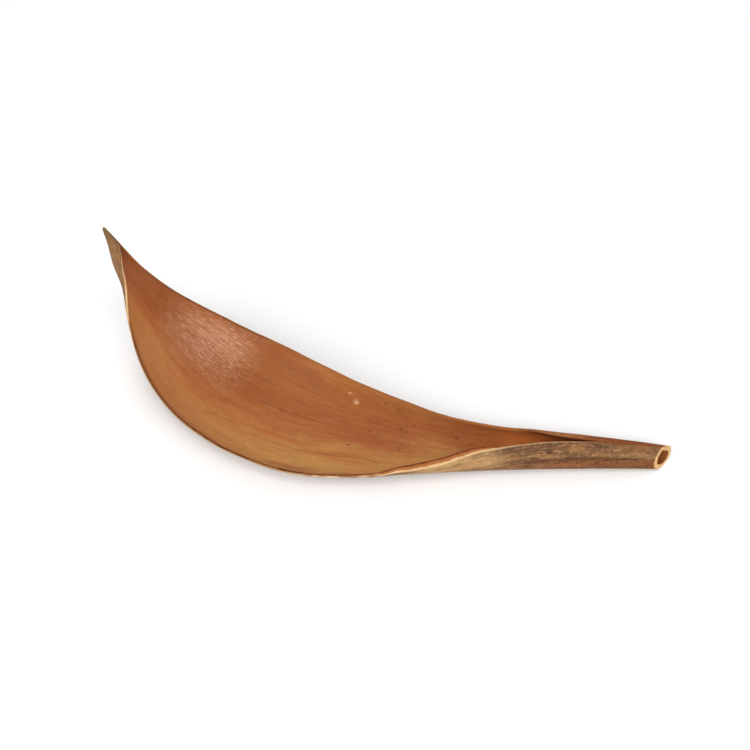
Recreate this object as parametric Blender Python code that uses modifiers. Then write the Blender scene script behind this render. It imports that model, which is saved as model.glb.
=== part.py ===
"""Dried cocoa leaf: a boat-shaped, woody palm bract, grown as one piece and lying on its belly.

The leaf is one thin curved wall. It is open along the blade, closes into a beak at -X and rolls
into a hollow stalk at +X, which is sawn off at a slant. The opening faces up and towards -Y.
Units are metres, +Z is up, and the leaf lies on z = 0 on its belly and the end of its stalk.
"""
import math
from collections import namedtuple

import bmesh
import bpy
import numpy as np
from mathutils import Vector

MM = 0.001

# The belly and the end of the stalk reach below the floor and are pressed flat on it.
FLOOR = 0.0

# Where the blade opens: this far above the floor, towards -Y.
OPENING_TILT = math.radians(54.0)
TO_OPENING = np.array([0.0, -math.cos(OPENING_TILT), math.sin(OPENING_TILT)])
TO_FAR_RIM = np.array([0.0, math.sin(OPENING_TILT), math.cos(OPENING_TILT)])

# Each section is an arc in the plane of the opening's direction and a line that leans from
# the far rim's direction towards +X. x, y and z give its centre. near and far are the angles,
# in degrees from the opening's direction, at which the arc ends in the near and the far rim.
# Where the two add up to nothing, the rims meet. Lengths are in millimetres.
Section = namedtuple("Section", "name x y z radius lean near far wall")
SECTIONS = [
    Section("tip", -247.5, 90, 140, 1.5, 66, -78, 78, 0.7),
    Section("closed beak", -240.5, 86, 124, 4.9, 64, -62, 74, 1.4),
    Section("open beak", -233.5, 80, 108, 9.2, 63, 2, 106, 2.0),
    Section("prow", -222.5, 73, 90, 14.8, 60, 49, 113, 2.2),
    Section("cheek", -203, 53, 61.5, 32, 52, 90, 114, 2.2),
    Section("bowl", -172, 22.5, 48.5, 47.6, 42, 90, 118, 2.2),
    Section("belly", -124.5, -20, 52, 55.3, 31, 90, 117, 2.2),
    Section("waist", -65.5, -49.5, 51, 50.6, 19, 90, 115, 2.2),
    Section("neck", -18.5, -56.5, 42, 41.1, 10, 86, 115, 2.4),
    Section("throat", 20.5, -57.2, 33, 31.8, 7, 61.5, 115.5, 2.6),
    Section("bend", 38, -57.9, 28.9, 27.8, 6, 50, 114, 2.7),
    Section("fold", 57, -58.9, 25, 24, 5, 32.5, 106.5, 2.8),
    Section("roll", 96.5, -59.7, 19.8, 18.7, 3, -2, 90, 3.0),
    Section("slit", 141.5, -60.1, 17, 15.9, 2.5, -31, 51.5, 3.2),
    Section("slit end", 170, -60.3, 15.6, 14.7, 2.8, -39.5, 48.5, 3.3),
    Section("stalk", 185.5, -60.5, 14.7, 14, 3, -44.6, 44.6, 3.3),
    Section("stalk end", 254.5, -62, 9.2, 10, 4, -55, 55, 4.2),
]

ROWS = 88
COLUMNS = 27
MEETING_GAP = 3.0        # degrees of gap at which the two rims count as grown together
SEAM_DEPTH = 0.9 * MM    # how far the closed seam sinks in along the stalk
POINT_LENGTH = 2.0 * MM  # the beak's point, past its last section
THICKEST = max(section.wall for section in SECTIONS) * MM

# The saw cut at the end of the stalk.
CUT_AT = Vector((239.8, -62.5, 11.0)) * MM
CUT_NORMAL = Vector((1.0, -0.73, 0.25)).normalized()
CUTTER_SIZE = 60.0 * MM

SIENNA_BROWN = (0.357, 0.112, 0.038, 1.0)


def clear_scene():
    for obj in list(bpy.data.objects):
        bpy.data.objects.remove(obj, do_unlink=True)


def new_collection(name):
    collection = bpy.data.collections.new(name)
    bpy.context.scene.collection.children.link(collection)
    return collection


def natural_spline(knots, values, places):
    """Smooth curve through the values at the knots, read at the places."""
    count = len(knots)
    steps = np.diff(knots)
    matrix = np.eye(count)
    right = np.zeros(count)
    for i in range(1, count - 1):
        matrix[i, i - 1:i + 2] = steps[i - 1], 2 * (steps[i - 1] + steps[i]), steps[i]
        right[i] = 6 * ((values[i + 1] - values[i]) / steps[i]
                        - (values[i] - values[i - 1]) / steps[i - 1])
    bend = np.linalg.solve(matrix, right)
    k = np.clip(np.searchsorted(knots, places) - 1, 0, count - 2)
    before = places - knots[k]
    after = knots[k + 1] - places
    step = steps[k]
    curve = (bend[k] * after ** 3 + bend[k + 1] * before ** 3) / (6 * step)
    line = ((values[k] / step - bend[k] * step / 6) * after
            + (values[k + 1] / step - bend[k + 1] * step / 6) * before)
    return curve + line


def sections_along(count):
    """The section's numbers at evenly spaced places from the beak to the stalk."""
    table = np.array([section[1:] for section in SECTIONS], dtype=float)
    table[:, [0, 1, 2, 3, 7]] *= MM
    table[:, 4:7] = np.radians(table[:, 4:7])
    lengths = np.linalg.norm(np.diff(table[:, :3], axis=0), axis=1)
    knots = np.concatenate([[0.0], np.cumsum(lengths)])
    places = np.linspace(0.0, knots[-1], count)
    return np.array([natural_spline(knots, column, places) for column in table.T]).T


def outer_row(section):
    """Points of one section from the near rim down and round to the far rim.

    Also says whether the rims meet there, which makes the section a whole ring.
    """
    x, y, z, radius, lean, near, far = section[:7]
    meets = near + far < math.radians(MEETING_GAP)
    if meets:
        near = (near - far) / 2
        far = -near
    angles = np.linspace(-near, far - 2 * math.pi, COLUMNS)
    reach = np.full(COLUMNS, radius)
    if meets and x > 0:
        reach[[0, -1]] -= SEAM_DEPTH
    across = np.array([math.sin(lean), 0.0, 0.0]) + math.cos(lean) * TO_FAR_RIM
    points = (np.array([x, y, z])
              + (reach * np.cos(angles))[:, None] * TO_OPENING
              + (reach * np.sin(angles))[:, None] * across)
    points[:, 2] = np.maximum(points[:, 2], FLOOR)
    return points, meets


def outer_skin():
    """Loft through the sections: an open sheet that is closed at the beak and along the stalk.

    Each vertex holds its share of the thickest wall, in the object's one vertex group.
    """
    sections = sections_along(ROWS)
    bm = bmesh.new()
    share = bm.verts.layers.deform.verify()
    rows = []
    for section in sections:
        points, meets = outer_row(section)
        if meets:
            points = points[:-1]
        row = [bm.verts.new(point) for point in points]
        for vert in row:
            vert[share][0] = section[7] / THICKEST
        if meets:
            row.append(row[0])
        rows.append(row)
    for first, second in zip(rows, rows[1:]):
        for a, b, c, d in zip(first, first[1:], second[1:], second):
            bm.faces.new((a, b, c, d))
    close_tip(bm, share, rows[0], sections)
    bmesh.ops.triangulate(bm, faces=bm.faces[:])
    return bm


def close_tip(bm, share, ring, sections):
    """Fan of faces from the first ring to the beak's point."""
    start, inward = sections[0][:3], sections[1][:3]
    outward = (start - inward) / np.linalg.norm(start - inward)
    point = bm.verts.new(start + outward * POINT_LENGTH)
    point[share][0] = sections[0][7] / THICKEST
    for a, b in zip(ring, ring[1:]):
        bm.faces.new((point, b, a))


def saw_cutter(collection):
    """Block whose face is the slanted cut at the end of the stalk."""
    bpy.ops.mesh.primitive_cube_add(size=CUTTER_SIZE)
    cutter = bpy.context.object
    cutter.name = "saw_cutter"
    cutter.rotation_euler = CUT_NORMAL.to_track_quat("X", "Z").to_euler()
    cutter.location = CUT_AT + CUT_NORMAL * CUTTER_SIZE / 2
    cutter.hide_render = True
    cutter.display_type = "WIRE"
    for owner in list(cutter.users_collection):
        owner.objects.unlink(cutter)
    collection.objects.link(cutter)
    return cutter


def bract_material():
    material = bpy.data.materials.new("dried_bract")
    material.use_nodes = True
    shader = material.node_tree.nodes["Principled BSDF"]
    shader.inputs["Base Color"].default_value = SIENNA_BROWN
    shader.inputs["Roughness"].default_value = 0.42
    shader.inputs["Metallic"].default_value = 0.0
    return material


def build_leaf(collection, cutter):
    bm = outer_skin()
    mesh = bpy.data.meshes.new("cocoa_leaf")
    bm.to_mesh(mesh)
    bm.free()
    mesh.materials.append(bract_material())
    mesh.shade_smooth()
    leaf = bpy.data.objects.new("cocoa_leaf", mesh)
    collection.objects.link(leaf)
    leaf.vertex_groups.new(name="wall")
    wall = leaf.modifiers.new("wall", "SOLIDIFY")
    wall.thickness = THICKEST
    wall.vertex_group = "wall"
    wall.offset = -1.0
    wall.use_even_offset = True
    wall.use_quality_normals = True
    cut = leaf.modifiers.new("saw_cut", "BOOLEAN")
    cut.operation = "DIFFERENCE"
    cut.object = cutter
    cut.solver = "EXACT"
    return leaf


def main():
    clear_scene()
    cutter = saw_cutter(new_collection("cutters"))
    build_leaf(new_collection("dried_cocoa_leaf"), cutter)


main()
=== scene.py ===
"""Looks of the dried cocoa leaf, a boat-shaped woody palm bract that lies on its belly.

The fine leaf repeats the CAD solid's sections and adds the rims' waver and bevelled lip, the ribs
and lumps of the bark, the groove and the seam along the stalk, and the uneven sawn end. Its four
finishes are the satin inside, the matt bark, the rims and the fresh cut. Lengths in the tables of
sections, strays and marks, and the sizes of the grain, are in millimetres. Others are in metres.
"""
import math
from collections import namedtuple

import bpy
import numpy as np
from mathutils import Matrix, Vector


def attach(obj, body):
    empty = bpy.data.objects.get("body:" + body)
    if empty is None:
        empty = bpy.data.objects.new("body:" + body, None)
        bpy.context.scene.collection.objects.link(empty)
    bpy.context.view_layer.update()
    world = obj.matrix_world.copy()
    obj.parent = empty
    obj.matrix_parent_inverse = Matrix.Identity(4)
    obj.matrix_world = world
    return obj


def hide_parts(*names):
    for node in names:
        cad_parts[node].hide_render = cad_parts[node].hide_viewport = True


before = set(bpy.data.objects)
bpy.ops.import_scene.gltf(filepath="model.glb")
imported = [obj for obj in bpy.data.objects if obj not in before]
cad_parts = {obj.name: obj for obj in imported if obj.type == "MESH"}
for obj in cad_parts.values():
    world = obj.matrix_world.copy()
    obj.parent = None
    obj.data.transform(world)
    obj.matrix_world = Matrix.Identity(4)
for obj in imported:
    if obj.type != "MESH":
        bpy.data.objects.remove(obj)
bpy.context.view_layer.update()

MM = 0.001
FLOOR = 0.0

# The shape, as in the CAD source. The opening faces up and towards -Y.
OPENING_TILT = math.radians(54.0)
TO_OPENING = np.array([0.0, -math.cos(OPENING_TILT), math.sin(OPENING_TILT)])
TO_FAR_RIM = np.array([0.0, math.sin(OPENING_TILT), math.cos(OPENING_TILT)])

# near and far are the angles, in degrees from the opening's direction, at which a section's arc
# ends in the near and the far rim. Lengths are in millimetres.
Section = namedtuple("Section", "name x y z radius lean near far wall")
SECTIONS = [
    Section("tip", -247.5, 90, 140, 1.5, 66, -78, 78, 0.7),
    Section("closed beak", -240.5, 86, 124, 4.9, 64, -62, 74, 1.4),
    Section("open beak", -233.5, 80, 108, 9.2, 63, 2, 106, 2.0),
    Section("prow", -222.5, 73, 90, 14.8, 60, 49, 113, 2.2),
    Section("cheek", -203, 53, 61.5, 32, 52, 90, 114, 2.2),
    Section("bowl", -172, 22.5, 48.5, 47.6, 42, 90, 118, 2.2),
    Section("belly", -124.5, -20, 52, 55.3, 31, 90, 117, 2.2),
    Section("waist", -65.5, -49.5, 51, 50.6, 19, 90, 115, 2.2),
    Section("neck", -18.5, -56.5, 42, 41.1, 10, 86, 115, 2.4),
    Section("throat", 20.5, -57.2, 33, 31.8, 7, 61.5, 115.5, 2.6),
    Section("bend", 38, -57.9, 28.9, 27.8, 6, 50, 114, 2.7),
    Section("fold", 57, -58.9, 25, 24, 5, 32.5, 106.5, 2.8),
    Section("roll", 96.5, -59.7, 19.8, 18.7, 3, -2, 90, 3.0),
    Section("slit", 141.5, -60.1, 17, 15.9, 2.5, -31, 51.5, 3.2),
    Section("slit end", 170, -60.3, 15.6, 14.7, 2.8, -39.5, 48.5, 3.3),
    Section("stalk", 185.5, -60.5, 14.7, 14, 3, -44.6, 44.6, 3.3),
    Section("stalk end", 254.5, -62, 9.2, 10, 4, -55, 55, 4.2),
]
X, Y, Z, RADIUS, LEAN, NEAR, FAR, WALL = range(8)    # columns of the sections and of points
MEETING_GAP = math.radians(3.0)
SEAM_DEPTH = 0.9 * MM
POINT_LENGTH = 2.0 * MM  # the beak's point, past its first section
POINT_ROW = 8            # the point leans away from the centre of this row
INNER_FLOOR = 0.9 * MM   # the inner skin stays this far above the floor
CUT_AT = Vector((239.8, -62.5, 11.0)) * MM
CUT_NORMAL = Vector((1.0, -0.73, 0.25)).normalized()
CUT_RAMP = 45.0 * MM     # the sections lean over to the cut's slant along this much of the stalk

# How far the rims stray from the smooth sections, in millimetres: place along the leaf, then the
# near and the far rim, both towards the far side, how much thicker the near rim is, and how far
# its inner edge stands past its outer edge.
Stray = namedtuple("Stray", "along near far thicker lip")
STRAYS = [
    Stray(0, 0, 0, 0, 0), Stray(24, 0, 0, 0, 0), Stray(44, 0.9, 0, 0, 0),
    Stray(60, 0.9, -0.6, 0, 0), Stray(76, 0.4, -0.8, 0, 0), Stray(96, 1.0, -0.1, 0, 0),
    Stray(115, 0.2, 0.5, 0, 0), Stray(132, -0.8, 0.6, 0, 0), Stray(150, -1.1, 0.5, 0, 0),
    Stray(170, -0.9, 0.1, 0.1, 0), Stray(190, 0, 0.3, 0.2, 0), Stray(215, 0.3, 0.6, 0, 0),
    Stray(235, 0.6, 0.4, 0, 0), Stray(252, -0.1, 0.1, 0.8, 0), Stray(280, -0.3, 0, 0.9, 0),
    Stray(297, 0.2, -0.2, 0.6, 0), Stray(325, 0.2, 0, 0.9, 0), Stray(340, -0.3, 0, 1.2, 2.2),
    Stray(354, -0.5, 0, 1.5, 5.4), Stray(366, -1.4, 0, 1.0, 6.8), Stray(378, -1.7, 0, 0.5, 7.2),
    Stray(390, -1.9, 0.1, 0.2, 6.8), Stray(402, -1.0, 0.3, 0, 6.0), Stray(413, 0, 0.6, 0, 4.9),
    Stray(424, 0.1, 0.8, 0, 3.6), Stray(434, 0.1, 0.9, 0, 2.2), Stray(450, 0, 1.1, 0, 0.4),
    Stray(470, 0, 2.3, 0, 0), Stray(492, 0, 1.4, 0, 0), Stray(520, 0, 0, 0, 0),
    Stray(600, 0, 0, 0, 0),
]
STRAY_REACH = 14.0 * MM  # how far from a rim its straying dies away
LIP_REACH = 6.0 * MM     # and how far from the near rim its lip does
LIP_COLUMNS = 3          # the lip stands out along the line from this column to the near rim
RIM_WAVER = 0.3 * MM     # random waver of both rims, on top of the strays
RIM_BULGE = 0.22         # the rims' edge bulges by this share of the wall
RIM_ROUGHNESS = 0.1      # and by up to this much more or less at random
SLIT_SHARE = 0.8         # where the slit is narrow, this share of it stands in for the wall

# How fine the mesh is.
BEAK_LENGTH = 90.0 * MM
BEAK_ROWS = 110
BLADE_ROWS = 330
COLUMNS = 103
RIM_CROWDING = 0.5       # columns next to the rims lie this much closer than on average
RIM_STEPS = 4
CUT_STEPS = 5
FINE_PLACES = 2000       # places tried to find the row at the saw cut
NOISE_SIZE = 128         # random draws each way, after which the noise repeats
CREASE_ANGLE = math.radians(38.0)

# Slots of the leaf's materials.
INSIDE, BARK, RIM, CUT = range(4)

# Where each part lies across the map for baking.
INSIDE_BAND = (0.03, 0.48)
BARK_BAND = (0.52, 0.94)
NEAR_RIM_BAND = (0.95, 0.96)
FAR_RIM_BAND = (0.97, 0.98)

# What goes with the leaf's grids of points. Each row has its place along the leaf, its section,
# whether its rims meet and its length from rim to rim. Each column has its share of the way round
# from the near to the far rim, and each point its distance to the nearest rim.
Grid = namedtuple("Grid", "places sections meets round_length shares from_rim")


def natural_spline(knots, values, places):
    """Smooth curve through the values at the knots, read at the places."""
    count = len(knots)
    steps = np.diff(knots)
    matrix = np.eye(count)
    right = np.zeros(count)
    for i in range(1, count - 1):
        matrix[i, i - 1:i + 2] = steps[i - 1], 2 * (steps[i - 1] + steps[i]), steps[i]
        right[i] = 6 * ((values[i + 1] - values[i]) / steps[i]
                        - (values[i] - values[i - 1]) / steps[i - 1])
    bend = np.linalg.solve(matrix, right)
    k = np.clip(np.searchsorted(knots, places) - 1, 0, count - 2)
    before = places - knots[k]
    after = knots[k + 1] - places
    step = steps[k]
    curve = (bend[k] * after ** 3 + bend[k + 1] * before ** 3) / (6 * step)
    line = ((values[k] / step - bend[k] * step / 6) * after
            + (values[k + 1] / step - bend[k + 1] * step / 6) * before)
    return curve + line


def section_knots():
    """The table in metres and radians, and each section's place along the leaf."""
    table = np.array([section[1:] for section in SECTIONS], dtype=float)
    table[:, [X, Y, Z, RADIUS, WALL]] *= MM
    table[:, [LEAN, NEAR, FAR]] = np.radians(table[:, [LEAN, NEAR, FAR]])
    lengths = np.linalg.norm(np.diff(table[:, :3], axis=0), axis=1)
    return table, np.concatenate([[0.0], np.cumsum(lengths)])


def sections_at(places):
    table, knots = section_knots()
    return np.array([natural_spline(knots, column, places) for column in table.T]).T


def row_places():
    """Places of the rows, closer together along the beak, down to the middle of the saw cut."""
    knots = section_knots()[1]
    places = np.linspace(0.0, knots[-1], FINE_PLACES)
    end = np.interp(CUT_AT.x, sections_at(places)[:, X], places)
    beak = np.linspace(0.0, BEAK_LENGTH, BEAK_ROWS, endpoint=False)
    return np.concatenate([beak, np.linspace(BEAK_LENGTH, end, BLADE_ROWS)])


def column_shares():
    """Shares of the way round from the near to the far rim, crowded towards both."""
    even = np.linspace(0.0, 1.0, COLUMNS)
    return even - (1 - RIM_CROWDING) * np.sin(2 * math.pi * even) / (2 * math.pi)


def smooth_step(values, low, high):
    """0 below low, 1 above high, and a smooth way between."""
    share = np.clip((values - low) / (high - low), 0.0, 1.0)
    return share * share * (3 - 2 * share)


def bell(values, middle, spread):
    """1 in the middle, dying away smoothly on both sides."""
    return np.exp(-((values - middle) / spread) ** 2)


def soft_noise(along, across, seed):
    """Smooth random values from -1 to 1, with a new draw at each whole number both ways."""
    draws = np.random.default_rng(seed).uniform(-1.0, 1.0, (NOISE_SIZE, NOISE_SIZE))
    along, across = np.broadcast_arrays(along, across)
    i, j = np.floor(along).astype(int), np.floor(across).astype(int)
    x, y = smooth_step(along - i, 0, 1), smooth_step(across - j, 0, 1)
    i, j = i % NOISE_SIZE, j % NOISE_SIZE
    down, over = (i + 1) % NOISE_SIZE, (j + 1) % NOISE_SIZE
    first = draws[i, j] * (1 - x) + draws[down, j] * x
    second = draws[i, over] * (1 - x) + draws[down, over] * x
    return first * (1 - y) + second * y


def rim_angles(places, sections):
    """Angles of both rims in each row, and whether they meet. The slit narrows to a round end."""
    near, far = sections[:, NEAR], sections[:, FAR]
    gap = near + far
    opened = np.sqrt(np.maximum(gap ** 2 - MEETING_GAP ** 2, 0.0)) * (gap > 0)
    waver = RIM_WAVER * smooth_step(opened, 0.0, math.radians(30)) / sections[:, RADIUS]
    near = near - (gap - opened) / 2 + waver * soft_noise(places / (11 * MM), 0.5, 11)
    far = far - (gap - opened) / 2 + waver * soft_noise(places / (13 * MM), 0.5, 12)
    return near, far, opened <= 0.0


def strays_at(places):
    """The table of strays at the places, each as a column for the rows of the leaf."""
    table = np.array(STRAYS, dtype=float) * MM
    columns = [natural_spline(table[:, 0], column, places)[:, None] for column in table.T[1:]]
    return Stray(places[:, None], *columns)


def smooth_skin(places, sections, shares):
    """Points of the outer skin before it is pressed flat on the floor, and what goes with them."""
    near, far, meets = rim_angles(places, sections)
    angles = -near[:, None] + (far - 2 * math.pi + near)[:, None] * shares
    lean = sections[:, LEAN]
    across = np.stack([np.sin(lean), 0 * lean, 0 * lean], 1) + np.cos(lean)[:, None] * TO_FAR_RIM
    out = np.cos(angles)[..., None] * TO_OPENING + np.sin(angles)[..., None] * across[:, None]
    points = sections[:, None, :3] + sections[:, RADIUS, None, None] * out
    round_length = (sections[:, RADIUS] * (2 * math.pi - near - far))[:, None]
    strays = strays_at(places)
    stray = (strays.near * bell(shares * round_length, 0.0, STRAY_REACH)
             + strays.far * bell((1 - shares) * round_length, 0.0, STRAY_REACH))
    return points + stray[..., None] * across[:, None], round_length, meets


def normals_of(points, centres):
    """Unit normals of a grid of points, pointing away from the centres."""
    along = np.gradient(points, axis=0)
    round_it = np.gradient(points, axis=1)
    normals = np.cross(along, round_it)
    normals /= np.linalg.norm(normals, axis=2, keepdims=True)
    side = np.sign(((points - centres[:, None]) * normals).sum(2, keepdims=True))
    return normals * side


def bark_relief(grid):
    """How far the bark stands out of the smooth skin: ribs, lumps, the groove and the seam."""
    along, round_it = grid.places[:, None], grid.shares * grid.round_length
    ribs = 0.17 * MM * soft_noise(along / (75 * MM), grid.shares * 27, 21)
    lumps = 0.2 * MM * soft_noise(along / (17 * MM), round_it / (10 * MM), 22)
    relief = (ribs + lumps) * smooth_step(along, 6 * MM, 60 * MM)
    relief *= 0.35 + 0.65 * smooth_step(grid.from_rim, 0.0, 5 * MM)
    return relief - groove_depth(grid) + seam_relief(grid) + sawn_end_relief(grid)


def groove_depth(grid):
    """Depth of the groove that runs along the stalk on its near side."""
    x = grid.sections[:, X, None]
    deep = smooth_step(x, 126 * MM, 142 * MM) * (1 - smooth_step(x, 200 * MM, 232 * MM))
    middle = 0.165 + 0.006 * soft_noise(grid.places[:, None] / (25 * MM), 0.5, 23)
    return 0.5 * MM * deep * bell(grid.shares, middle, 0.013)


def seam_relief(grid):
    """The sunken seam, with the near rim's lip standing proud beside it and the far side lower."""
    closed_from = grid.places[grid.meets & (grid.sections[:, X] > 0)][0]
    in_seam = smooth_step(grid.places[:, None], closed_from - 2 * MM, closed_from + 14 * MM)
    crease = SEAM_DEPTH * bell(grid.from_rim, 0.0, 0.9 * MM)
    near_lip = 0.22 * MM * (grid.shares < 0.5) * bell(grid.from_rim, 1.9 * MM, 1.2 * MM)
    far_dip = 0.3 * MM * (grid.shares > 0.5) * np.exp(-grid.from_rim / (4 * MM))
    return in_seam * (near_lip - crease - far_dip)


def sawn_end_relief(grid):
    """The outside of the sawn end: a shoulder along the seam and a flattened top."""
    at_end = smooth_step(grid.places[:, None], grid.places[-1] - 50 * MM, grid.places[-1])
    shoulder = 0.6 * MM * bell(np.minimum(grid.shares, 1 - grid.shares), 0.0, 0.06)
    flat_top = 1.1 * MM * bell(grid.shares, 0.87, 0.08)
    return at_end * (shoulder - flat_top)


def inside_relief(grid):
    """Faint lengthwise waves of the inner skin, which break up its shine."""
    along = grid.places[:, None]
    waves = 0.14 * MM * soft_noise(along / (95 * MM), grid.shares * 9, 31)
    ribs = 0.05 * MM * soft_noise(along / (60 * MM), grid.shares * 30, 32)
    return (waves + ribs) * smooth_step(along, 20 * MM, 80 * MM)


def wall_thickness(grid):
    """Wall from skin to skin: thinner at the rims and the beak's point, plus the near rim's extra."""
    thin = 0.16 * (1 - smooth_step(grid.from_rim, 0.0, 5 * MM))
    at_point = 0.3 * (1 - smooth_step(grid.places[:, None], 0.0, 8 * MM))
    lost = np.where(grid.meets[:, None], at_point, thin)
    wall = grid.sections[:, WALL, None] * (1 - lost)
    wall += strays_at(grid.places).thicker * (grid.shares < 0.5) * bell(grid.from_rim, 0.0, 4 * MM)
    return wall - wall_lost_at_end(grid)


def wall_lost_at_end(grid):
    """What the wall loses at the sawn end: a notch under the seam, a slim back and a ragged bore.

    The toothed top is thicker there instead.
    """
    along = grid.places[:, None]
    at_end = smooth_step(along, grid.places[-1] - 60 * MM, grid.places[-1] - 10 * MM)
    notch = 1.3 * MM * bell(grid.from_rim, 0.0, 1.4 * MM)
    slim = 0.8 * MM * bell(grid.shares, 0.62, 0.12)
    ragged = 0.3 * MM * soft_noise(along / (20 * MM), grid.shares * 34, 33) * (grid.from_rim > 0)
    teeth = MM * (1.9 + 1.1 * soft_noise(along / (12 * MM), grid.shares * 26, 34))
    return at_end * (notch + slim + ragged - teeth * bell(grid.shares, 0.9, 0.1))


def lip_shift(grid, smooth):
    """How far the inner skin moves out past the near rim, which bevels the rim in the fold."""
    past_rim = smooth[:, 0] - smooth[:, LIP_COLUMNS]
    past_rim /= np.linalg.norm(past_rim, axis=1, keepdims=True)
    lip = np.maximum(strays_at(grid.places).lip, 0.0) * bell(grid.from_rim, 0.0, LIP_REACH)
    return past_rim[:, None] * (lip * (grid.shares < 0.5))[..., None]


def leaf_skins():
    """Both skins as grids of points, one row for each section, and what goes with the grids."""
    places, shares = row_places(), column_shares()
    sections = sections_at(places)
    smooth, round_length, meets = smooth_skin(places, sections, shares)
    from_rim = np.minimum(shares, 1 - shares) * round_length
    grid = Grid(places, sections, meets, round_length, shares, from_rim)
    normals = normals_of(smooth, sections[:, :3])
    outer = smooth + normals * bark_relief(grid)[..., None]
    inner = smooth - normals * (wall_thickness(grid) + inside_relief(grid))[..., None]
    inner += lip_shift(grid, smooth)
    outer[..., Z] = np.maximum(outer[..., Z], FLOOR)
    inner[..., Z] = np.maximum(inner[..., Z], FLOOR + INNER_FLOOR)
    for skin in (outer, inner):
        skin[..., X] = slanted_x(skin, grid)
        skin[meets, -1] = skin[meets, 0]
    return grid, (outer, inner)


def slanted_x(skin, grid):
    """x of the points once the last sections lean over to lie along the saw cut."""
    lean = smooth_step(grid.places, grid.places[-1] - CUT_RAMP, grid.places[-1])[:, None]
    beside = (skin[..., Y] - CUT_AT.y) * CUT_NORMAL.y + (skin[..., Z] - CUT_AT.z) * CUT_NORMAL.z
    on_cut = grid.sections[:, X, None] - beside / CUT_NORMAL.x
    return (1 - lean) * skin[..., X] + lean * on_cut


class Patches:
    """Points and faces, gathered patch by patch, with each face corner's place on three maps.

    "fibre" holds the place along the leaf and the share of the way from the near to the far rim.
    "wall" holds the distance to the nearest rim and the depth in the wall, from bark to inside.
    On the saw cut, "fibre" holds the share of the way round and the depth instead.
    """

    def __init__(self):
        self.points = []
        self.count = 0
        self.faces = []
        self.slots = []
        self.maps = {"OFBake": [], "fibre": [], "wall": []}

    def add_points(self, grid):
        flat = grid.reshape(-1, 3)
        ids = self.count + np.arange(len(flat)).reshape(grid.shape[:-1])
        self.points.append(flat)
        self.count += len(flat)
        return ids

    def add_faces(self, faces, slot, maps):
        self.faces.append(faces)
        self.slots.append(np.full(len(faces), slot))
        for name, places in maps.items():
            self.maps[name].append(places.reshape(-1, 2))

    def add_grid(self, ids, slot, maps, turned=False, keep=slice(None)):
        """Four-sided faces between the rows of a grid of points, for the pairs of rows kept."""
        corners = [(0, 0), (0, 1), (1, 1), (1, 0)]
        if turned:
            corners.reverse()
        down, over = ids.shape[0] - 1, ids.shape[1] - 1
        parts = [(slice(i, down + i), slice(j, over + j)) for i, j in corners]
        faces = np.stack([ids[part] for part in parts], 2)[keep].reshape(-1, 4)
        at = {}
        for name, grid in maps.items():
            grid = np.broadcast_to(grid, ids.shape + (2,))
            at[name] = np.stack([grid[part] for part in parts], 2)[keep]
        self.add_faces(faces, slot, at)

    def add_fan(self, centre, ring, slot, maps, turned=False):
        """Three-sided faces from a point to a ring. maps gives the ring's places and the point's."""
        first, second = (ring[:-1], ring[1:]) if turned else (ring[1:], ring[:-1])
        faces = np.stack([np.full(len(first), centre), first, second], 1)
        at = {}
        for name, (ring_at, centre_at) in maps.items():
            a, b = (ring_at[:-1], ring_at[1:]) if turned else (ring_at[1:], ring_at[:-1])
            at[name] = np.stack([np.full_like(a, 0) + centre_at, a, b], 1)
        self.add_faces(faces, slot, at)

    def mesh(self, name):
        points = np.concatenate(self.points)
        corners = np.concatenate([faces.ravel() for faces in self.faces])
        used, corners = np.unique(corners, return_inverse=True)
        lists, start = [], 0
        for faces in self.faces:
            end = start + faces.size
            lists += corners[start:end].reshape(faces.shape).tolist()
            start = end
        mesh = bpy.data.meshes.new(name)
        mesh.from_pydata(points[used].tolist(), [], lists)
        mesh.polygons.foreach_set("material_index", np.concatenate(self.slots))
        for map_name, places in self.maps.items():
            layer = mesh.uv_layers.new(name=map_name)
            layer.data.foreach_set("uv", np.concatenate(places).ravel().astype(np.float32))
        mesh.shade_smooth()
        mesh.set_sharp_from_angle(angle=CREASE_ANGLE)
        return mesh


def paired(first, second):
    """Two arrays as a grid of pairs, each spread over the other's shape."""
    return np.stack(np.broadcast_arrays(first, second), -1).astype(float)


def rim_points(patches, grid, skins, ids, column, beside, seed):
    """The edge of the wall along one rim, a little rounded and rough. Gives the points' ids."""
    outer, inner = skins
    depth = np.linspace(0.0, 1.0, RIM_STEPS + 1)
    edge = outer[:, column, None] * (1 - depth[:, None]) + inner[:, column, None] * depth[:, None]
    outward = outer[:, column] - outer[:, beside]
    outward /= np.linalg.norm(outward, axis=1, keepdims=True)
    rough = RIM_ROUGHNESS * np.random.default_rng(seed).uniform(-1, 1, edge.shape[:2])
    bulge = (RIM_BULGE + rough) * np.sin(math.pi * depth) * ~grid.meets[:, None]
    wall = np.linalg.norm(outer[:, column] - inner[:, column], axis=1)
    slit = np.linalg.norm(outer[:, 0] - outer[:, -1], axis=1)
    reach = np.minimum(wall, SLIT_SHARE * slit)
    edge += outward[:, None] * (bulge * reach[:, None])[..., None]
    rim_ids = patches.add_points(edge)
    rim_ids[:, 0], rim_ids[:, -1] = ids[0][:, column], ids[1][:, column]
    return rim_ids


def leaf_maps(grid, share, distance, depth, band, spread):
    """The three maps of a grid of faces, spread over its band of the map for baking."""
    along = grid.places[:, None]
    low, high = band
    return {"OFBake": paired(0.01 + 0.98 * along / grid.places[-1], low + (high - low) * spread),
            "fibre": paired(along, share), "wall": paired(distance, depth)}


def add_skins(patches, grid, ids):
    """The bark and the inside."""
    bark = leaf_maps(grid, grid.shares, grid.from_rim, 0.0, BARK_BAND, grid.shares)
    inside = leaf_maps(grid, grid.shares, grid.from_rim, 1.0, INSIDE_BAND, grid.shares)
    patches.add_grid(ids[0], BARK, bark)
    patches.add_grid(ids[1], INSIDE, inside, turned=True)


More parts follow.
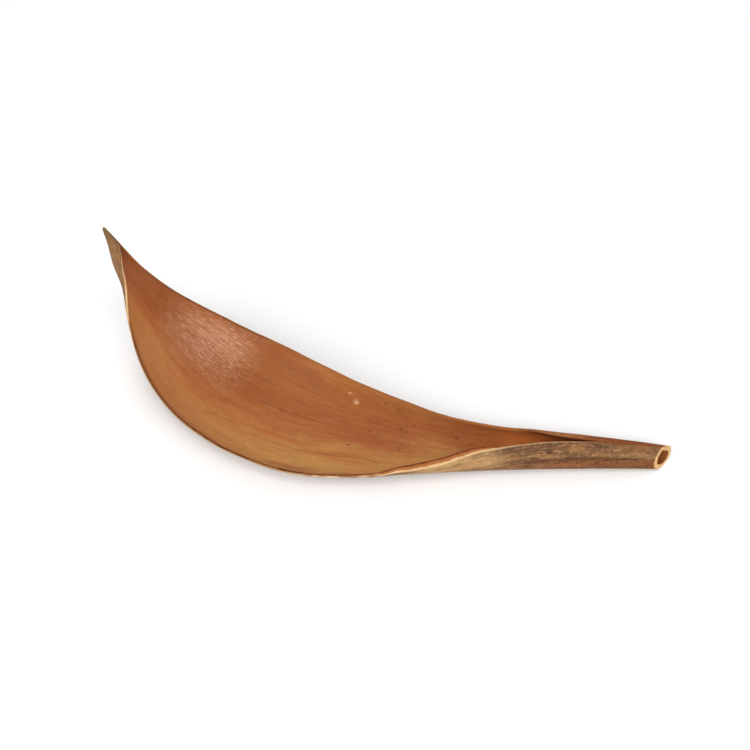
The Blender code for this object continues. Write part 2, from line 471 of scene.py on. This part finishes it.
def add_rims(patches, grid, skins, ids):
    """The edge of the wall along both rims, wherever they don't meet."""
    near_ids = rim_points(patches, grid, skins, ids, 0, 1, 41)
    far_ids = rim_points(patches, grid, skins, ids, -1, -2, 42)
    far_ids[grid.meets] = near_ids[grid.meets]
    opened = ~(grid.meets[:-1] & grid.meets[1:])
    depth = np.linspace(0.0, 1.0, RIM_STEPS + 1)
    near_maps = leaf_maps(grid, 0.0, 0.0, depth, NEAR_RIM_BAND, depth)
    far_maps = leaf_maps(grid, 1.0, 0.0, depth, FAR_RIM_BAND, depth)
    patches.add_grid(near_ids, RIM, near_maps, turned=True, keep=opened)
    patches.add_grid(far_ids, RIM, far_maps, keep=opened)


def build_leaf():
    grid, skins = leaf_skins()
    patches = Patches()
    ids = [patches.add_points(skin) for skin in skins]
    for skin_ids in ids:
        skin_ids[grid.meets, -1] = skin_ids[grid.meets, 0]
    add_skins(patches, grid, ids)
    add_rims(patches, grid, skins, ids)
    add_cut(patches, grid, skins, ids)
    add_point(patches, grid, ids)
    leaf = bpy.data.objects.new("leaf", patches.mesh("leaf"))
    bpy.context.scene.collection.objects.link(leaf)
    return leaf


def add_cut(patches, grid, skins, ids):
    """The sawn end: a ring from the outer to the inner skin, roughened by the fibres."""
    outer, inner = skins
    depth = np.linspace(0.0, 1.0, CUT_STEPS + 1)[:, None]
    ring = outer[-1] * (1 - depth[..., None]) + inner[-1] * depth[..., None]
    rough = np.random.default_rng(51).uniform(-0.13, 0.13, ring.shape[:2]) * MM
    rough[[0, -1]] = 0.0
    ring += rough[..., None] * np.array(CUT_NORMAL)
    ring_ids = patches.add_points(ring)
    ring_ids[0], ring_ids[-1] = ids[0][-1], ids[1][-1]
    ring_ids[:, -1] = ring_ids[:, 0]
    maps = {"OFBake": paired(0.02 + 0.6 * grid.shares, 0.485 + 0.03 * depth),
            "fibre": paired(grid.shares, depth), "wall": paired(0.0, depth)}
    patches.add_grid(ring_ids, CUT, maps)


def add_point(patches, grid, ids):
    """Closes both skins at the beak's point."""
    start, inward = grid.sections[0, :3], grid.sections[POINT_ROW, :3]
    outward = (start - inward) / np.linalg.norm(start - inward)
    ends = ((ids[0], POINT_LENGTH, BARK, 0.0), (ids[1], POINT_LENGTH / 4, INSIDE, 1.0))
    for skin_ids, reach, slot, depth in ends:
        centre = patches.add_points((start + outward * reach)[None])[0]
        bake = paired(0.7 + 0.2 * grid.shares, 0.515), np.array([0.8, 0.49 + 0.02 * depth])
        fibre = paired(0.0, grid.shares), np.array([-POINT_LENGTH, 0.5])
        wall = paired(0.0 * grid.shares, depth), np.array([0.0, depth])
        maps = {"OFBake": bake, "fibre": fibre, "wall": wall}
        patches.add_fan(centre, skin_ids[0], slot, maps, turned=slot == INSIDE)


def srgb(red, green, blue):
    """A colour from screen values of 0 to 255, as the shader wants it."""
    return tuple((((c / 255) + 0.055) / 1.055) ** 2.4 if c > 10 else c / 3294.6
                 for c in (red, green, blue)) + (1.0,)


# Colours of the dry bract.
OCHRE = srgb(190, 136, 71)
OCHRE_BROWN = srgb(174, 112, 62)
SIENNA = srgb(164, 99, 49)
RED_BROWN = srgb(144, 78, 34)
FAR_BROWN = srgb(146, 84, 36)
THROAT = srgb(170, 97, 40)
RIM_SHADE = srgb(122, 66, 34)
BEAK_BROWN = srgb(158, 92, 56)
LEFT_TAN = srgb(180, 115, 65)
# The painted highlight of the worn patch.
PAINTED_SHEEN_TAN = srgb(206, 158, 126)
FAR_GOLD = srgb(170, 110, 50)
DARK_LINE = srgb(98, 52, 26)
# Painted shade inside the hollow stalk.
BORE_SHADE = srgb(134, 72, 18)
SPECK = srgb(84, 48, 32)
# Pale scuffs, and also the painted glint ticks of the worn patch.
SCUFF_AND_GLINT = srgb(226, 186, 146)
BARK_GREY = srgb(126, 89, 58)
BARK_DARK = srgb(86, 56, 36)
BARK_PURPLE = srgb(90, 60, 45)
BARK_OLIVE = srgb(144, 109, 70)
BARK_SAND = srgb(186, 148, 100)
BARK_OCHRE = srgb(174, 113, 64)
BARK_RED = srgb(118, 66, 34)
BARK_RUST = srgb(136, 74, 36)
BARK_PALE = srgb(188, 156, 116)
RIM_CREAM = srgb(206, 170, 124)
RIM_TAN = srgb(204, 160, 116)
RIM_DULL = srgb(146, 98, 58)
RIM_BROWN = srgb(146, 100, 66)
RIM_OLIVE = srgb(140, 106, 64)
RIM_ORANGE = srgb(156, 93, 47)
RIM_RED = srgb(104, 52, 26)
# Dark cracks in the rim, and the painted shade in the slit.
RIM_CRACK_AND_SLIT_SHADE = srgb(76, 36, 8)
CUT_PALE = srgb(225, 184, 128)
CUT_BROWN = srgb(172, 118, 68)

ROUND_LENGTH = 150 * MM  # from rim to rim across the bowl, for the size of the grain
OBJECT_PLACE = 3         # the output of the coordinates node that follows the leaf


class Finish:
    """One material and short calls that add its nodes."""

    def __init__(self, name):
        self.material = bpy.data.materials.new(name)
        self.material.use_nodes = True
        self.tree = self.material.node_tree
        self.shader = self.tree.nodes["Principled BSDF"]
        self.along, self.share = self.split(self.add("ShaderNodeUVMap", uv_map="fibre"))
        self.from_rim, self.depth = self.split(self.add("ShaderNodeUVMap", uv_map="wall"))

    def feed(self, socket, value):
        if isinstance(value, bpy.types.NodeSocket):
            self.tree.links.new(value, socket)
        else:
            socket.default_value = value

    def add(self, kind, inputs=(), output=0, **settings):
        node = self.tree.nodes.new(kind)
        for key, value in settings.items():
            setattr(node, key, value)
        for key, value in dict(inputs).items():
            self.feed(node.inputs[key], value)
        return node.outputs[output]

    def split(self, vector):
        socket = self.add("ShaderNodeSeparateXYZ", {0: vector})
        return socket, socket.node.outputs[1]

    def math(self, operation, *values):
        return self.add("ShaderNodeMath", enumerate(values), operation=operation)

    def sum(self, start, *terms):
        """start plus each (weight, value) pair."""
        total = start
        for weight, value in terms:
            total = self.math("MULTIPLY_ADD", value, weight, total)
        return total

    def times(self, *values):
        total = values[0]
        for value in values[1:]:
            total = self.math("MULTIPLY", total, value)
        return total

    def step(self, value, low, high, first=0.0, second=1.0):
        """first below low, second above high, and a smooth way between."""
        return self.add("ShaderNodeMapRange", {0: value, 1: low, 2: high, 3: first, 4: second},
                        interpolation_type="SMOOTHSTEP")

    def window(self, value, low, high, soft, most=1.0):
        """most between low and high, and 0 further than soft outside them."""
        return self.times(self.step(value, low - soft, low, 0.0, most),
                          self.step(value, high, high + soft, 1.0, 0.0))

    def grain(self, along, across, seed, detail=2.0, roughness=0.5):
        """Noise around 0 in patches this many millimetres long and wide, along the fibres."""
        vector = self.add("ShaderNodeCombineXYZ", {
            0: self.math("DIVIDE", self.along, along * MM),
            1: self.math("MULTIPLY", self.share, ROUND_LENGTH / (across * MM)),
            2: seed * 7.3})
        return self.add("ShaderNodeTexNoise", {"Vector": vector, "Scale": 1.0, "Detail": detail,
                                               "Roughness": roughness}, normalize=False)

    def mix(self, factor, first, second):
        return self.add("ShaderNodeMix", {0: factor, 6: first, 7: second}, output=2,
                        data_type="RGBA")

    def ramp(self, value, *stops):
        socket = self.add("ShaderNodeValToRGB", {0: value})
        elements = socket.node.color_ramp.elements
        while len(elements) < len(stops):
            elements.new(0.5)
        for element, (place, colour) in zip(elements, stops):
            element.position = place
            element.color = colour
        return socket

    def shade(self, colour, value):
        return self.add("ShaderNodeHueSaturation", {"Color": colour, "Value": value})

    def marks(self, table, ragged):
        """1 on the marks of a table and 0 elsewhere, with edges as ragged as that value."""
        total = 0.0
        for mark in table:
            x = self.math("MULTIPLY_ADD", self.along, 1 / (mark.length * MM),
                          -mark.along / mark.length)
            across = ROUND_LENGTH / (mark.width * MM)
            y = self.math("MULTIPLY_ADD", self.share, across, -mark.share * across)
            reach = self.math("SQRT", self.math("MULTIPLY_ADD", x, x, self.math("MULTIPLY", y, y)))
            spot = self.step(self.math("ADD", reach, ragged), 0.55, 1.35, 1.0, 0.0)
            total = self.math("MAXIMUM", total, spot)
        return total

    def surface(self, colour, roughness, specular):
        self.feed(self.shader.inputs["Base Color"], colour)
        self.feed(self.shader.inputs["Roughness"], roughness)
        self.shader.inputs["Specular IOR Level"].default_value = specular

    def fibre_gloss(self, strength):
        """Spreads the shine across the fibres, which run along the first number of the map."""
        self.shader.inputs["Anisotropic"].default_value = strength
        self.shader.inputs["Anisotropic Rotation"].default_value = 0.25
        self.feed(self.shader.inputs["Tangent"],
                  self.add("ShaderNodeTangent", direction_type="UV_MAP", uv_map="fibre"))

    def bump(self, height, distance):
        normal = self.add("ShaderNodeBump", {"Height": height, "Distance": distance})
        self.feed(self.shader.inputs["Normal"], normal)


# Single marks: place along the leaf in millimetres and share of the way across, then half length
# and half width in millimetres.
Mark = namedtuple("Mark", "along share length width")
SPECKS = [
    Mark(324.6, 0.588, 1.4, 1.4), Mark(351.6, 0.685, 1.5, 1.9), Mark(356.6, 0.671, 1.0, 1.3),
    Mark(363.7, 0.760, 1.8, 1.2), Mark(353.1, 0.515, 1.7, 1.1), Mark(335.1, 0.895, 1.5, 1.4),
    Mark(347.1, 0.862, 1.5, 1.4), Mark(360.7, 0.895, 1.2, 1.3), Mark(402.8, 0.736, 2.2, 1.5),
    Mark(416.3, 0.685, 1.5, 1.3), Mark(308.0, 0.441, 1.8, 0.9), Mark(426.8, 0.671, 1.5, 1.1),
]
SCUFFS = [
    Mark(308.0, 0.793, 2.6, 2.8), Mark(300.5, 0.853, 1.8, 1.2), Mark(144.1, 0.370, 0.8, 0.8),
]
FIBRE_LINES = [
    Mark(334, 0.680, 46, 0.6), Mark(300, 0.330, 60, 0.7), Mark(285, 0.745, 30, 0.5),
    Mark(376, 0.815, 36, 0.5), Mark(245, 0.560, 34, 0.5), Mark(392, 0.770, 30, 0.6),
    Mark(205, 0.690, 30, 0.5), Mark(350, 0.560, 30, 0.4),
]
EDGE_CRACKS = [Mark(151.5, 0.975, 0.6, 7.0), Mark(275.0, 0.995, 0.5, 3.0)]
BARK_PATCHES = [
    Mark(446, 0.030, 14, 6), Mark(476, 0.060, 22, 9), Mark(462, 0.180, 16, 5),
    Mark(506, 0.140, 15, 5), Mark(528, 0.060, 9, 4),
]
BARK_SPOTS = [Mark(482.6, 0.098, 3.0, 4.0), Mark(470.0, 0.150, 5, 2.0), Mark(500, 0.165, 6, 2.0)]
BARK_BLOTCHES = [
    Mark(506, 0.055, 6, 5), Mark(547, 0.060, 7, 4), Mark(415, 0.110, 12, 6), Mark(497, 0.250, 9, 4),
    Mark(566, 0.060, 9, 5),
]
BARK_SCUFFS = [Mark(431, 0.140, 1.6, 1.6), Mark(542, 0.090, 3, 1.0), Mark(521, 0.150, 1.2, 1.2)]

# The grains that the steps of a finish share.
InsideGrains = namedtuple("InsideGrains", "broad patch streak fine speckle")
BarkGrains = namedtuple("BarkGrains", "broad streak fine blotch speckle")


def inside_ground(finish, grain):
    """Ochre along the near rim, then a red-brown band, with browner and lighter regions, and painted
    light in the throat past the fold.
    """
    band = finish.sum(finish.share, (0.09, grain.broad), (0.09, grain.patch), (0.06, grain.streak),
                      (-0.22, finish.step(finish.along, 320 * MM, 395 * MM)))
    colour = finish.ramp(band, (0.0, OCHRE_BROWN), (0.09, OCHRE), (0.24, OCHRE), (0.42, SIENNA),
                         (0.58, RED_BROWN), (0.76, FAR_BROWN), (0.92, RED_BROWN), (1.0, FAR_BROWN))
    in_beak = finish.times(finish.step(finish.along, 20 * MM, 120 * MM, 0.75, 0.0),
                           finish.step(finish.share, 0.15, 0.5))
    colour = finish.mix(in_beak, colour, BEAK_BROWN)
    at_left = finish.times(finish.step(finish.along, 140 * MM, 290 * MM, 0.85, 0.0),
                           finish.step(band, 0.15, 0.62, 1.0, 0.0))
    colour = finish.mix(at_left, colour, LEFT_TAN)
    golden = finish.times(finish.window(finish.along, 270 * MM, 365 * MM, 40 * MM, 0.6),
                          finish.step(finish.sum(finish.share, (0.05, grain.patch)), 0.82, 0.97))
    colour = finish.mix(golden, colour, FAR_GOLD)
    in_throat = finish.step(finish.along, 390 * MM, 450 * MM, 0.0, 0.8)
    colour = finish.mix(in_throat, colour, THROAT)
    # Painted light: the colour is brightened where the fold's near lip shades the throat.
    painted_fold_light = finish.window(finish.along, 455 * MM, 500 * MM, 22 * MM)
    value = finish.sum(1.0, (0.38, painted_fold_light), (0.06, grain.broad), (0.09, grain.patch),
                       (0.09, grain.streak), (0.12, grain.fine), (0.08, grain.speckle))
    return finish.shade(colour, value)


def inside_marks(finish, grain, colour):
    """Dark fibre lines, specks, torn scuffs and the cracks at the far rim."""
    lines = finish.math("ABSOLUTE", finish.grain(240, 3.0, 6, 0.0))
    lines = finish.times(finish.step(lines, 0.0, 0.05, 0.3, 0.0),
                         finish.step(finish.grain(70, 10, 7), 0.0, 0.2))
    ragged = finish.times(grain.fine, 0.6)
    lines = finish.math("MAXIMUM", lines, finish.times(finish.marks(FIBRE_LINES, ragged), 0.35))
    colour = finish.mix(lines, colour, DARK_LINE)
    specks = finish.marks(SPECKS, finish.times(grain.speckle, 0.5))
    colour = finish.mix(finish.times(specks, 0.7), colour, SPECK)
    torn = finish.times(finish.sum(grain.speckle, (1.0, grain.fine)), 0.8)
    colour = finish.mix(finish.times(finish.marks(SCUFFS, torn), 0.5), colour, SCUFF_AND_GLINT)
    return finish.mix(finish.marks(EDGE_CRACKS, ragged), colour, DARK_LINE)


def inside_shade(finish, grain, colour):
    """Red-brown beside the bowl's near rim, a thin line near the beak and painted shade in the hollow
    stalk.
    """
    away = finish.sum(finish.from_rim, (1.5 * MM, grain.patch))
    beside_rim = finish.times(finish.step(away, 2.5 * MM, 7.5 * MM, 0.8, 0.0),
                              finish.step(finish.share, 0.4, 0.5, 1.0, 0.0),
                              finish.window(finish.along, 95 * MM, 330 * MM, 20 * MM))
    line = finish.times(finish.step(finish.from_rim, 0.6 * MM, 2.2 * MM, 0.7, 0.0),
                        finish.window(finish.along, 45 * MM, 190 * MM, 20 * MM))
    colour = finish.mix(finish.math("MAXIMUM", beside_rim, line), colour, RIM_SHADE)
    # Painted shade: the inside of the closed stalk is made darker.
    return finish.mix(finish.step(finish.along, 505 * MM, 545 * MM), colour, BORE_SHADE)


def inside_wear_and_sheen(finish, grain, colour):
    """The worn far side of the bowl, with painted highlight: paler, with pale streaks and ticks. Also
    gives where the patch and the ticks are.
    """
    worn_and_sheen = finish.times(finish.window(finish.along, 120 * MM, 170 * MM, 45 * MM),
                        finish.window(finish.share, 0.66, 0.90, 0.24))
    glint_ticks = finish.times(worn_and_sheen, finish.step(finish.grain(8, 1.1, 10), 0.06, 0.36))
    furrows = finish.times(worn_and_sheen, finish.step(finish.grain(9, 1.2, 23), 0.1, 0.4))
    sheen_streaks = finish.times(finish.window(finish.along, 128 * MM, 165 * MM, 32 * MM),
                           finish.window(finish.share, 0.76, 0.85, 0.10),
                           finish.step(finish.sum(grain.streak, (0.6, grain.fine)), -0.5, 0.4))
    # Painted highlight: the worn patch is made paler, with pale streaks and pale glint ticks, among
    # darker red-brown streaks.
    painted_sheen = finish.times(worn_and_sheen, finish.sum(0.12, (0.12, grain.patch)))
    colour = finish.mix(painted_sheen, colour, PAINTED_SHEEN_TAN)
    colour = finish.mix(finish.times(sheen_streaks, 0.32), colour, PAINTED_SHEEN_TAN)
    colour = finish.mix(finish.times(furrows, 0.35), colour, RED_BROWN)
    return finish.mix(finish.times(glint_ticks, 0.32), colour, SCUFF_AND_GLINT), worn_and_sheen, glint_ticks


def inside_finish():
    """Satin inside. Its fibres shine across their length, most where the bowl is worn smooth, which
    also has a painted highlight in its colour.
    """
    finish = Finish("bract_inside")
    grain = InsideGrains(broad=finish.grain(90, 16, 1), patch=finish.grain(22, 6, 2, 3.0, 0.6),
                         streak=finish.grain(55, 2.2, 3), fine=finish.grain(10, 1.3, 4, 2.0, 0.6),
                         speckle=finish.grain(2.4, 1.8, 5))
    colour = inside_marks(finish, grain, inside_ground(finish, grain))
    colour = inside_shade(finish, grain, colour)
    colour, worn_and_sheen, glint_ticks = inside_wear_and_sheen(finish, grain, colour)
    rough = finish.sum(0.60, (-0.20, worn_and_sheen), (-0.10, glint_ticks), (0.10, grain.fine), (0.06, grain.patch))
    finish.surface(colour, rough, 0.3)
    finish.fibre_gloss(0.85)
    wrinkle = finish.grain(1.8, 5, 9)
    height = finish.sum(0.0, (0.6, grain.fine), (0.5, grain.streak), (0.35, wrinkle),
                        (0.2, grain.speckle))
    finish.bump(height, 0.16 * MM)
    return finish.material


def bark_ground(finish, grain, dashes):
    """Grey-brown streaks, sandy at the fold and the beak, with ochre, purple and pale marks."""
    tone = finish.sum(0.5, (0.3, grain.broad), (0.25, grain.streak), (0.35, grain.blotch),
                      (0.2, grain.fine))
    colour = finish.ramp(tone, (0.0, BARK_DARK), (0.45, BARK_GREY), (0.95, BARK_OLIVE))
    sandy = finish.times(finish.window(finish.along, 378 * MM, 425 * MM, 30 * MM, 0.8),
                         finish.step(finish.share, 0.16, 0.26, 1.0, 0.0))
    colour = finish.mix(sandy, colour, BARK_SAND)
    ragged = finish.sum(0.0, (0.6, grain.blotch), (0.5, grain.fine))
    ochre = finish.math("MAXIMUM", finish.step(grain.blotch, 0.1, 0.7, 0.0, 0.24),
                        finish.times(finish.marks(BARK_BLOTCHES, ragged), 0.35))
    colour = finish.mix(ochre, colour, BARK_OCHRE)
    dull = finish.times(finish.step(finish.along, 535 * MM, 560 * MM, 0.45, 0.1),
                        finish.step(finish.grain(24, 6, 16, 3.0), 0.0, 0.6))
    purple = finish.math("MAXIMUM", dull, finish.times(finish.marks(BARK_PATCHES, ragged), 0.6))
    colour = finish.mix(purple, colour, BARK_PURPLE)
    colour = finish.mix(dashes, colour, BARK_DARK)
    flecks = finish.step(finish.grain(2.6, 2.0, 18, 1.0), 0.34, 0.55, 0.0, 0.35)
    pale = finish.math("MAXIMUM", flecks, finish.times(finish.marks(BARK_SCUFFS, ragged), 0.8))
    colour = finish.mix(pale, colour, BARK_PALE)
    spots = finish.times(finish.marks(BARK_SPOTS, finish.times(ragged, 0.35)), 0.85)
    colour = finish.mix(spots, colour, BARK_DARK)
    near_beak = finish.step(finish.along, 30 * MM, 75 * MM, 0.15, 0.0)
    return finish.mix(near_beak, colour, BARK_SAND)


def stalk_lines(finish, grain, colour):
    """Lines along the stalk: the groove, ochre on the far side, a painted highlight along its top,
    the pale edge, partly painted highlight, and the seam.
    """
    beside_groove = finish.sum(finish.share, (0.012, grain.blotch))
    in_groove = finish.times(finish.window(beside_groove, 0.172, 0.190, 0.014),
                             finish.window(finish.along, 480 * MM, 560 * MM, 25 * MM, 0.75))
    colour = finish.mix(in_groove, colour, BARK_DARK)
    rolled = finish.times(finish.window(finish.along, 455 * MM, 500 * MM, 25 * MM, 0.5),
                          finish.step(finish.share, 0.75, 0.85))
    # Painted highlight: a lighter ochre line along the top of the stalk.
    painted_top_highlight = finish.times(finish.window(finish.along, 490 * MM, 570 * MM, 20 * MM, 0.6),
                           finish.window(finish.share, 0.84, 0.885, 0.02))
    colour = finish.mix(finish.math("MAXIMUM", rolled, painted_top_highlight), colour, BARK_OCHRE)
    # The pale line along the near rim is partly the bark's pale edge and partly painted highlight.
    edge = finish.times(finish.step(finish.from_rim, 0.4 * MM, 1.6 * MM, 0.6, 0.0),
                        finish.step(finish.share, 0.4, 0.5, 1.0, 0.0),
                        finish.window(finish.along, 440 * MM, 515 * MM, 20 * MM))
    colour = finish.mix(edge, colour, BARK_PALE)
    seam = finish.times(finish.step(finish.from_rim, 0.5 * MM, 1.1 * MM, 0.8, 0.0),
                        finish.window(finish.along, 520 * MM, 575 * MM, 15 * MM))
    return finish.mix(seam, colour, RIM_SHADE)


def bark_finish():
    """Matt bark, redder under the stalk and on the strip past its seam."""
    finish = Finish("bract_bark")
    grain = BarkGrains(broad=finish.grain(100, 14, 11), streak=finish.grain(45, 3.0, 12, 3.0),
                       fine=finish.grain(5, 1.5, 13, 2.0, 0.6),
                       blotch=finish.grain(10, 5, 14, 3.0, 0.6), speckle=finish.grain(1.9, 1.6, 15))
    dashes = finish.step(finish.grain(3.6, 1.5, 17, 1.0), 0.2, 0.42, 0.0, 0.14)
    at_stalk = finish.step(finish.along, 430 * MM, 520 * MM)
    reddish = finish.times(at_stalk, finish.window(finish.share, 0.20, 0.36, 0.04, 0.6))
    strip = finish.times(at_stalk, finish.step(finish.share, 0.80, 0.90, 0.0, 0.9))
    colour = finish.mix(reddish, bark_ground(finish, grain, dashes), BARK_RED)
    colour = stalk_lines(finish, grain, finish.mix(strip, colour, BARK_RUST))
    grit = finish.sum(0.0, (0.17, grain.speckle), (0.12, finish.grain(3.0, 2.4, 19)))
    grit = finish.times(grit, finish.sum(1.3, (3.0, reddish), (1.5, strip)))
    value = finish.sum(1.0, (0.10, grain.fine), (0.06, grain.streak), (1.0, grit))
    rough = finish.sum(0.74, (0.15, grain.blotch))
    finish.surface(finish.shade(colour, value), rough, 0.1)
    height = finish.sum(0.0, (0.6, grain.streak), (0.6, grain.fine), (0.4, grain.blotch),
                        (-0.3, dashes))
    finish.bump(height, 0.35 * MM)
    return finish.material


def rim_colour(finish, patchy):
    """Tan and brown, olive at the bowl, cream at the beak and the fold, and painted shade in the
    slit.
    """
    depth = finish.sum(finish.depth, (0.1, patchy))
    near = finish.step(finish.share, 0.4, 0.6, 1.0, 0.0)
    lighter = finish.mix(near, RIM_DULL, RIM_TAN)
    darker = finish.mix(near, FAR_BROWN, RIM_BROWN)
    colour = finish.mix(finish.step(patchy, -0.3, 0.3), darker, lighter)
    at_bowl = finish.times(finish.window(finish.along, 115 * MM, 265 * MM, 30 * MM), near)
    colour = finish.mix(finish.times(at_bowl, 0.75), colour, RIM_OLIVE)
    in_fold = finish.times(finish.window(finish.along, 342 * MM, 450 * MM, 10 * MM), near)
    in_beak = finish.times(finish.step(finish.along, 70 * MM, 100 * MM, 1.0, 0.0), near)
    colour = finish.mix(finish.math("MAXIMUM", in_fold, in_beak), colour, RIM_CREAM)
    in_bowl = finish.math("SUBTRACT", finish.step(finish.along, 60 * MM, 110 * MM), in_fold)
    inner = finish.times(finish.step(depth, 0.4, 0.8), in_bowl)
    colour = finish.mix(inner, colour, finish.mix(near, FAR_BROWN, RIM_RED))
    colour = finish.mix(finish.times(finish.step(depth, 0.12, 0.32), in_fold), colour, RIM_ORANGE)
    colour = finish.mix(finish.times(finish.step(depth, 0.55, 0.70), in_fold), colour, RIM_RED)
    far_shade = finish.times(finish.window(finish.along, 60 * MM, 190 * MM, 15 * MM, 0.6),
                             finish.math("SUBTRACT", 1.0, near), finish.sum(1.0, (0.8, patchy)))
    colour = finish.mix(far_shade, colour, RIM_RED)
    cracks = finish.times(at_bowl, finish.step(depth, 0.35, 0.55), finish.step(patchy, -0.1, 0.2))
    colour = finish.mix(cracks, colour, RIM_CRACK_AND_SLIT_SHADE)
    # Painted shade: the cut faces in the slit, the far one most, are made nearly black.
    slit_shade = finish.times(finish.step(finish.along, 448 * MM, 475 * MM),
                           finish.step(finish.share, 0.4, 0.6, 0.3, 1.0))
    return finish.mix(slit_shade, colour, RIM_CRACK_AND_SLIT_SHADE)


def rim_finish():
    """Edge of the wall, patchy and dry."""
    finish = Finish("bract_rim")
    patchy = finish.grain(12, 400, 21, 3.0)
    finish.surface(rim_colour(finish, patchy), finish.sum(0.6, (0.15, patchy)), 0.1)
    finish.bump(finish.grain(3, 200, 22, 3.0), 0.2 * MM)
    return finish.material


def cut_finish():
    """Fresh saw cut: pale pith with the ends of fibres, browner at the bore and the top."""
    finish = Finish("bract_cut")
    place = finish.add("ShaderNodeTexCoord", output=OBJECT_PLACE)
    dots = finish.add("ShaderNodeTexVoronoi", {"Vector": place, "Scale": 1600.0})
    cloud = finish.add("ShaderNodeTexNoise", {"Vector": place, "Scale": 400.0, "Detail": 3.0})
    colour = finish.mix(finish.step(dots, 0.15, 0.4), CUT_BROWN, CUT_PALE)
    colour = finish.mix(finish.step(cloud, 0.45, 0.65, 0.0, 0.6), colour, CUT_BROWN)
    inner = finish.step(finish.depth, 0.7, 1.0, 0.0, 0.8)
    at_top = finish.window(finish.along, 0.82, 0.98, 0.08, 0.7)
    browned = finish.math("MAXIMUM", inner, finish.times(at_top, finish.step(cloud, 0.35, 0.6)))
    colour = finish.mix(browned, colour, CUT_BROWN)
    finish.surface(colour, 0.75, 0.2)
    finish.bump(finish.sum(0.0, (0.6, dots), (0.6, cloud)), 0.3 * MM)
    return finish.material


FLOOR_SIZE = 24.0
FLOOR_DROP = 0.2 * MM    # keeps the floor's plane just clear of the leaf's flat spots


def build_floor():
    bpy.ops.mesh.primitive_plane_add(size=FLOOR_SIZE, location=(0.0, 0.0, FLOOR - FLOOR_DROP))
    floor = bpy.context.object
    floor.name = "floor"
    material = bpy.data.materials.new("pale_floor")
    material.use_nodes = True
    shader = material.node_tree.nodes["Principled BSDF"]
    shader.inputs["Base Color"].default_value = (0.96, 0.96, 0.96, 1.0)
    shader.inputs["Roughness"].default_value = 0.9
    floor.data.materials.append(material)


# Where the photograph was taken from: the camera looks squarely into the opening.
AIM = Vector((-11.6, 1.5, 45.0)) * MM
CAMERA_DISTANCE = 2.2
PICTURE_WIDTH = 0.66     # what the picture takes in at the aim, 750 pixels of 0.88 mm
SENSOR = 36.0


def build_camera():
    data = bpy.data.cameras.new("camera")
    data.sensor_width = SENSOR
    data.lens = SENSOR * CAMERA_DISTANCE / PICTURE_WIDTH
    camera = bpy.data.objects.new("camera", data)
    camera.location = AIM + Vector(TO_OPENING) * CAMERA_DISTANCE
    camera.rotation_euler = (math.pi / 2 - OPENING_TILT, 0.0, 0.0)
    bpy.context.scene.collection.objects.link(camera)
    bpy.context.scene.camera = camera


Softbox = namedtuple("Softbox", "name toward distance width height power")
SOFTBOXES = [
    Softbox("key", (-0.10, -0.45, 0.88), 2.0, 1.6, 1.2, 18.0),
    Softbox("front right", (0.60, -0.60, 0.50), 1.8, 1.0, 1.0, 8.0),
    Softbox("front left", (-0.70, -0.50, 0.50), 1.6, 1.0, 0.8, 6.0),
    Softbox("front", (0.0, -0.90, 0.43), 1.8, 1.0, 0.8, 3.0),
    Softbox("right", (0.90, 0.20, 0.30), 1.8, 1.0, 0.8, 6.0),
    Softbox("back", (0.0, 0.70, 0.70), 1.8, 1.0, 1.0, 5.0),
    Softbox("low left", (-0.86, -0.50, 0.10), 1.2, 0.7, 0.22, 3.4),
]
WORLD_LIGHT = 0.44


def build_lights():
    for box in SOFTBOXES:
        data = bpy.data.lights.new(box.name, "AREA")
        data.shape = "RECTANGLE"
        data.size, data.size_y = box.width, box.height
        data.energy = box.power
        light = bpy.data.objects.new(box.name, data)
        toward = Vector(box.toward).normalized()
        light.location = AIM + toward * box.distance
        light.rotation_euler = toward.to_track_quat("Z", "Y").to_euler()
        light.visible_camera = False
        bpy.context.scene.collection.objects.link(light)
    world = bpy.data.worlds.new("studio")
    world.use_nodes = True
    background = world.node_tree.nodes["Background"]
    background.inputs["Color"].default_value = (1.0, 1.0, 1.0, 1.0)
    background.inputs["Strength"].default_value = WORLD_LIGHT
    bpy.context.scene.world = world
    bpy.context.scene.view_settings.view_transform = "Standard"


leaf = build_leaf()
for material in (inside_finish(), bark_finish(), rim_finish(), cut_finish()):
    leaf.data.materials.append(material)
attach(leaf, "root")
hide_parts("cocoa_leaf")
build_floor()
build_camera()
build_lights()
